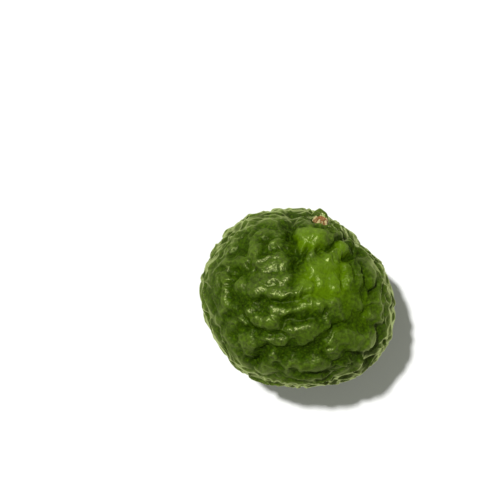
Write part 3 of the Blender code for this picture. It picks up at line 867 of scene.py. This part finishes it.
def rind_finish(colours, sizes):
    """Waxy rind: a dull, mottled green with painted shade in its grooves and painted light on its crests,
    and over it a gloss that follows its oil glands.
    """
    finish, tree = new_finish("rind")
    place = place_on_piece(tree)
    patch = kept_value(tree, "patch")
    clouds = mottle(place, CLOUD_SIZE)
    specks = mottle(place, SPECK_SIZE, FINE_DETAIL)
    grain = mottle(place, GRAIN_SIZE, FINE_DETAIL)
    domes = 1.0 - cells_of(place, sizes.gland_spacing)
    # This relief sets where painted shade darkens the grooves and painted light pales the crests
    height = kept_value(tree, "relief") + (specks - NOISE_MIDDLE) * SPECK_SHIFT
    dull = principled(tree, {
        "Base Color": rind_colour(colours, height, patch, clouds, domes, grain),
        "Roughness": RIND_ROUGHNESS,
        "Specular IOR Level": 0.0,
        "Normal": bumped(domes + specks + grain, BUMP_RISE),
    })
    gloss = principled(tree, {
        "Base Color": colours.gloss,
        "Metallic": 1.0,
        "Specular Tint": GLOSS_EDGE_TINT,
        "Roughness": GLOSS_ROUGHNESS - specks * SPECK_POLISH,
        "Normal": bumped(domes * GLOSS_GLANDS + grain * GLOSS_GRAIN, GLOSS_BUMP_RISE),
    })
    shares = {0: gloss_share(tree, place, height), 1: dull, 2: gloss}
    put_on(tree, new_node(tree, "ShaderNodeMixShader", None, shares))
    return finish


# The calyx's finish: its clouds, how far they shift where shade turns pale, its fibres and its roughness
CALYX_CLOUD_SIZE = 1.1 * MM
CALYX_CLOUD_SHIFT = 0.8
CALYX_SHADE_TO_PALE = (0.3, 0.7)
CALYX_FIBRE_SIZE = 0.35 * MM
CALYX_FIBRE_RISE = 0.12 * MM
CALYX_FIBRE_STRENGTH = 0.6
CALYX_ROUGHNESS = 0.8

# The broken wood's finish, in the same way
WOOD_CLOUD_SIZE = 0.8 * MM
WOOD_TO_PALE = (0.52, 0.72)
WOOD_FIBRE_SIZE = 0.25 * MM
WOOD_FIBRE_RISE = 0.15 * MM
WOOD_FIBRE_STRENGTH = 0.7
WOOD_ROUGHNESS = 0.85


def calyx_finish(looks):
    """Dry calyx: cream and olive-tan, darker in its dips."""
    finish, tree = new_finish("dry_calyx")
    place = place_on_piece(tree)
    clouds = mottle(place, CALYX_CLOUD_SIZE, FINE_DETAIL)
    fibres = mottle(place, CALYX_FIBRE_SIZE)
    paleness = kept_value(tree, "rib") + (clouds - NOISE_MIDDLE) * CALYX_CLOUD_SHIFT
    put_on(tree, principled(tree, {
        "Base Color": paleness.between(*CALYX_SHADE_TO_PALE).blend(looks.calyx_shade, looks.calyx_colour),
        "Roughness": CALYX_ROUGHNESS,
        "Normal": bumped(fibres, CALYX_FIBRE_RISE, CALYX_FIBRE_STRENGTH),
    }))
    return finish


def wood_finish(looks):
    """Broken stem: orange-brown wood with pale fibres."""
    finish, tree = new_finish("dry_stem")
    place = place_on_piece(tree)
    clouds = mottle(place, WOOD_CLOUD_SIZE, FINE_DETAIL)
    fibres = mottle(place, WOOD_FIBRE_SIZE)
    put_on(tree, principled(tree, {
        "Base Color": clouds.between(*WOOD_TO_PALE).blend(looks.wood_colour, looks.wood_pale),
        "Roughness": WOOD_ROUGHNESS,
        "Normal": bumped(fibres, WOOD_FIBRE_RISE, WOOD_FIBRE_STRENGTH),
    }))
    return finish


# The floor: half its width, its darker shade as a share of its colour, size of its clouds, roughness
FLOOR_REACH = 6.0
FLOOR_SHADE = 0.985
FLOOR_CLOUD_SIZE = 0.4
FLOOR_ROUGHNESS = 0.9

# Width of the picture inside the camera, in mm
SENSOR_WIDTH = 36.0


def even_light(looks):
    """Even pale light from all round."""
    walls = bpy.data.worlds.new("walls")
    walls.use_nodes = True
    background = walls.node_tree.nodes["Background"]
    background.inputs["Color"].default_value = (*looks.wall_colour, 1.0)
    background.inputs["Strength"].default_value = looks.wall_brightness
    return walls


def floor_finish(looks):
    """The plain pale floor, with the faintest unevenness in its colour."""
    finish, tree = new_finish("floor")
    shade = tuple(FLOOR_SHADE * part for part in looks.floor_colour)
    clouds = mottle(place_on_piece(tree), FLOOR_CLOUD_SIZE)
    colour = clouds.blend(shade, looks.floor_colour)
    put_on(tree, principled(tree, {"Base Color": colour, "Roughness": FLOOR_ROUGHNESS}))
    return finish


# Segments round, and rings, of the balls that the calyx and the broken stem are shaped from
CALYX_SEGMENTS = 160
CALYX_RINGS = 80
STUB_SEGMENTS = 96
STUB_RINGS = 64

# The calyx: how far its lobes stand out, and how far its finer ribs are turned from them
LOBE_REACH = 0.14
FINE_RIB_TURN = 0.6

# Where its crown of ribs stands round the stem, and how broad it is, as shares of its radius
CROWN_RING = 0.72
CROWN_SPREAD = 0.2

# Its wrinkles: scale of the noise, and height in mm
CALYX_WRINKLES = ((4.0, 0.16), (11.0, 0.06))

# The broken stem: where its foot is, how far out of round it is, and on what scale
STUB_FOOT = 0.3 * MM
STUB_UNEVENNESS = 0.10
STUB_UNEVEN_SCALE = 2.0

# How soon its broken end spreads to its side, how deep that end is dished, and how much of the ball is side
STUB_END_GROWTH = 1.25
STUB_DISH = 0.25 * MM
STUB_SIDE_BAND = 0.25

# The fibres of its end: where in the noise they are read, scale of the noise, and height in mm
STUB_FIBRES = ((0.0, 5.0, 0.30), (3.0, 14.0, 0.12))


class BERGAMOT_OT_rind(bpy.types.Operator):
    """Build the rind, with its folds, warts and small wrinkles"""

    bl_idname = "bergamot.rind"
    bl_label = "Rind"

    def execute(self, context):
        sizes = context.scene.bergamot_sizes
        ball = ball_of_cells(sizes.cells)
        directions = np.array([vert.co[:] for vert in ball.verts])
        points, relief, patch = rind_shape(directions, sizes)
        for vert, point in zip(ball.verts, points):
            vert.co = point
        piece = new_piece("rind", ball, rind_finish(context.scene.bergamot_colours, sizes))
        keep_values(piece.data, "relief", relief)
        keep_values(piece.data, "patch", patch)
        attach(piece, "root")
        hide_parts("fruit")
        return {"FINISHED"}


class BERGAMOT_OT_calyx(bpy.types.Operator):
    """Build the dry calyx round the broken stem"""

    bl_idname = "bergamot.calyx"
    bl_label = "Calyx"

    def execute(self, context):
        looks = context.scene.bergamot_stem
        ball = bmesh.new()
        bmesh.ops.create_uvsphere(ball, u_segments=CALYX_SEGMENTS, v_segments=CALYX_RINGS, radius=1.0)
        ribs = []
        for vert in ball.verts:
            x, y, z = vert.co
            ring = math.hypot(x, y)
            wave = looks.lobes * math.atan2(y, x)
            lobe = 1.0 + LOBE_REACH * math.cos(wave) * ring**2
            rib = 0.5 + 0.25 * (math.cos(wave) + math.cos(2.0 * wave + FINE_RIB_TURN))
            wrinkle = sum(noise.noise(vert.co * scale) * height * MM for scale, height in CALYX_WRINKLES)
            reach = looks.calyx_radius * lobe + wrinkle
            crown = bell(ring - CROWN_RING, CROWN_SPREAD) * rib * looks.crown_height
            top = looks.calyx_height * math.sqrt(max(z, 0.0)) + wrinkle + crown
            vert.co = (x * reach, y * reach, max(top, 0.0) if z > 0.0 else 0.0)
            ribs.append(rib)
        piece = new_piece("calyx", ball, calyx_finish(looks))
        keep_values(piece.data, "rib", ribs)
        piece.matrix_world = stem_matrix(BUTTON_FROM_MIDDLE)
        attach(piece, "root")
        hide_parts("stem_button")
        return {"FINISHED"}


class BERGAMOT_OT_stub(bpy.types.Operator):
    """Build the broken stem that stands in the calyx"""

    bl_idname = "bergamot.stub"
    bl_label = "Broken stem"

    def execute(self, context):
        looks = context.scene.bergamot_stem
        ball = bmesh.new()
        bmesh.ops.create_uvsphere(ball, u_segments=STUB_SEGMENTS, v_segments=STUB_RINGS, radius=1.0)
        for vert in ball.verts:
            x, y, z = vert.co
            turn = math.atan2(y, x)
            outwards = Vector((math.cos(turn), math.sin(turn), 0.0))
            out = min(1.0, STUB_END_GROWTH * math.hypot(x, y)) if z > 0.0 else 1.0
            uneven = noise.noise(outwards * STUB_UNEVEN_SCALE + Vector((0.0, 0.0, z)))
            side = looks.stub_radius * (1.0 + STUB_UNEVENNESS * uneven)
            top = looks.stub_height - STUB_DISH * (1.0 - out)
            for shift, scale, height in STUB_FIBRES:
                top += noise.noise(Vector((x, y, shift)) * scale) * height * MM
            share = min(max(0.5 + 0.5 * z / STUB_SIDE_BAND, 0.0), 1.0)
            vert.co = outwards * side * out
            vert.co.z = STUB_FOOT + (top - STUB_FOOT) * share
        piece = new_piece("broken_stem", ball, wood_finish(looks))
        piece.matrix_world = stem_matrix(BUTTON_FROM_MIDDLE)
        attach(piece, "root")
        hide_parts("stem_button")
        return {"FINISHED"}


class BERGAMOT_OT_stage(bpy.types.Operator):
    """Lay the floor, and set the lamp, the even light and the camera"""

    bl_idname = "bergamot.stage"
    bl_label = "Stage"

    def execute(self, context):
        looks = context.scene.bergamot_stage
        sheet = bmesh.new()
        bmesh.ops.create_grid(sheet, x_segments=1, y_segments=1, size=FLOOR_REACH)
        new_piece("floor", sheet, floor_finish(looks))
        to_lamp = Vector((
            math.cos(looks.lamp_side) * math.cos(looks.lamp_height),
            math.sin(looks.lamp_side) * math.cos(looks.lamp_height),
            math.sin(looks.lamp_height),
        ))
        lamp = bpy.data.lights.new("lamp", "AREA")
        lamp.shape = "DISK"
        lamp.size = looks.lamp_size
        lamp.energy = looks.lamp_power
        hung = bpy.data.objects.new("lamp", lamp)
        hung.location = to_lamp * looks.lamp_distance
        hung.rotation_mode = "QUATERNION"
        hung.rotation_quaternion = to_lamp.to_track_quat("Z", "Y")
        context.scene.collection.objects.link(hung)
        context.scene.world = even_light(looks)
        camera = bpy.data.cameras.new("camera")
        camera.lens = looks.lens
        camera.sensor_width = SENSOR_WIDTH
        held = bpy.data.objects.new("camera", camera)
        distance = looks.view_width * looks.lens / SENSOR_WIDTH
        held.location = (*EYE_BESIDE_MIDDLE, REST_HEIGHT + distance)
        context.scene.collection.objects.link(held)
        context.scene.camera = held
        context.scene.view_settings.view_transform = "Standard"
        return {"FINISHED"}


class BERGAMOT_PT_sidebar(bpy.types.Panel):
    """Lists the pieces of the bergamot orange and their settings"""

    bl_idname = "BERGAMOT_PT_sidebar"
    bl_label = "Bergamot orange"
    bl_space_type = "VIEW_3D"
    bl_region_type = "UI"
    bl_category = "Bergamot"

    def draw(self, context):
        for operator in OPERATORS:
            self.layout.operator(operator.bl_idname)
        for name in SETTINGS:
            group = getattr(context.scene, name)
            box = self.layout.box()
            for key in group.__annotations__:
                box.prop(group, key)


OPERATORS = (BERGAMOT_OT_rind, BERGAMOT_OT_calyx, BERGAMOT_OT_stub, BERGAMOT_OT_stage)
SETTINGS = {
    "bergamot_sizes": FruitSizes,
    "bergamot_colours": RindColours,
    "bergamot_stem": StemLooks,
    "bergamot_stage": StageLooks,
}


def register():
    """Makes the classes and their settings known to Blender."""
    for made in (*SETTINGS.values(), *OPERATORS, BERGAMOT_PT_sidebar):
        bpy.utils.register_class(made)
    for name, group in SETTINGS.items():
        setattr(bpy.types.Scene, name, PointerProperty(type=group))


def unregister():
    """Takes them out again."""
    for name in SETTINGS:
        delattr(bpy.types.Scene, name)
    for made in (BERGAMOT_PT_sidebar, *reversed(OPERATORS), *reversed(SETTINGS.values())):
        bpy.utils.unregister_class(made)


def main():
    """Builds every piece and the stage."""
    register()
    bpy.ops.bergamot.rind()
    bpy.ops.bergamot.calyx()
    bpy.ops.bergamot.stub()
    bpy.ops.bergamot.stage()
    bpy.context.view_layer.update()


if __name__ == "__main__":
    main()
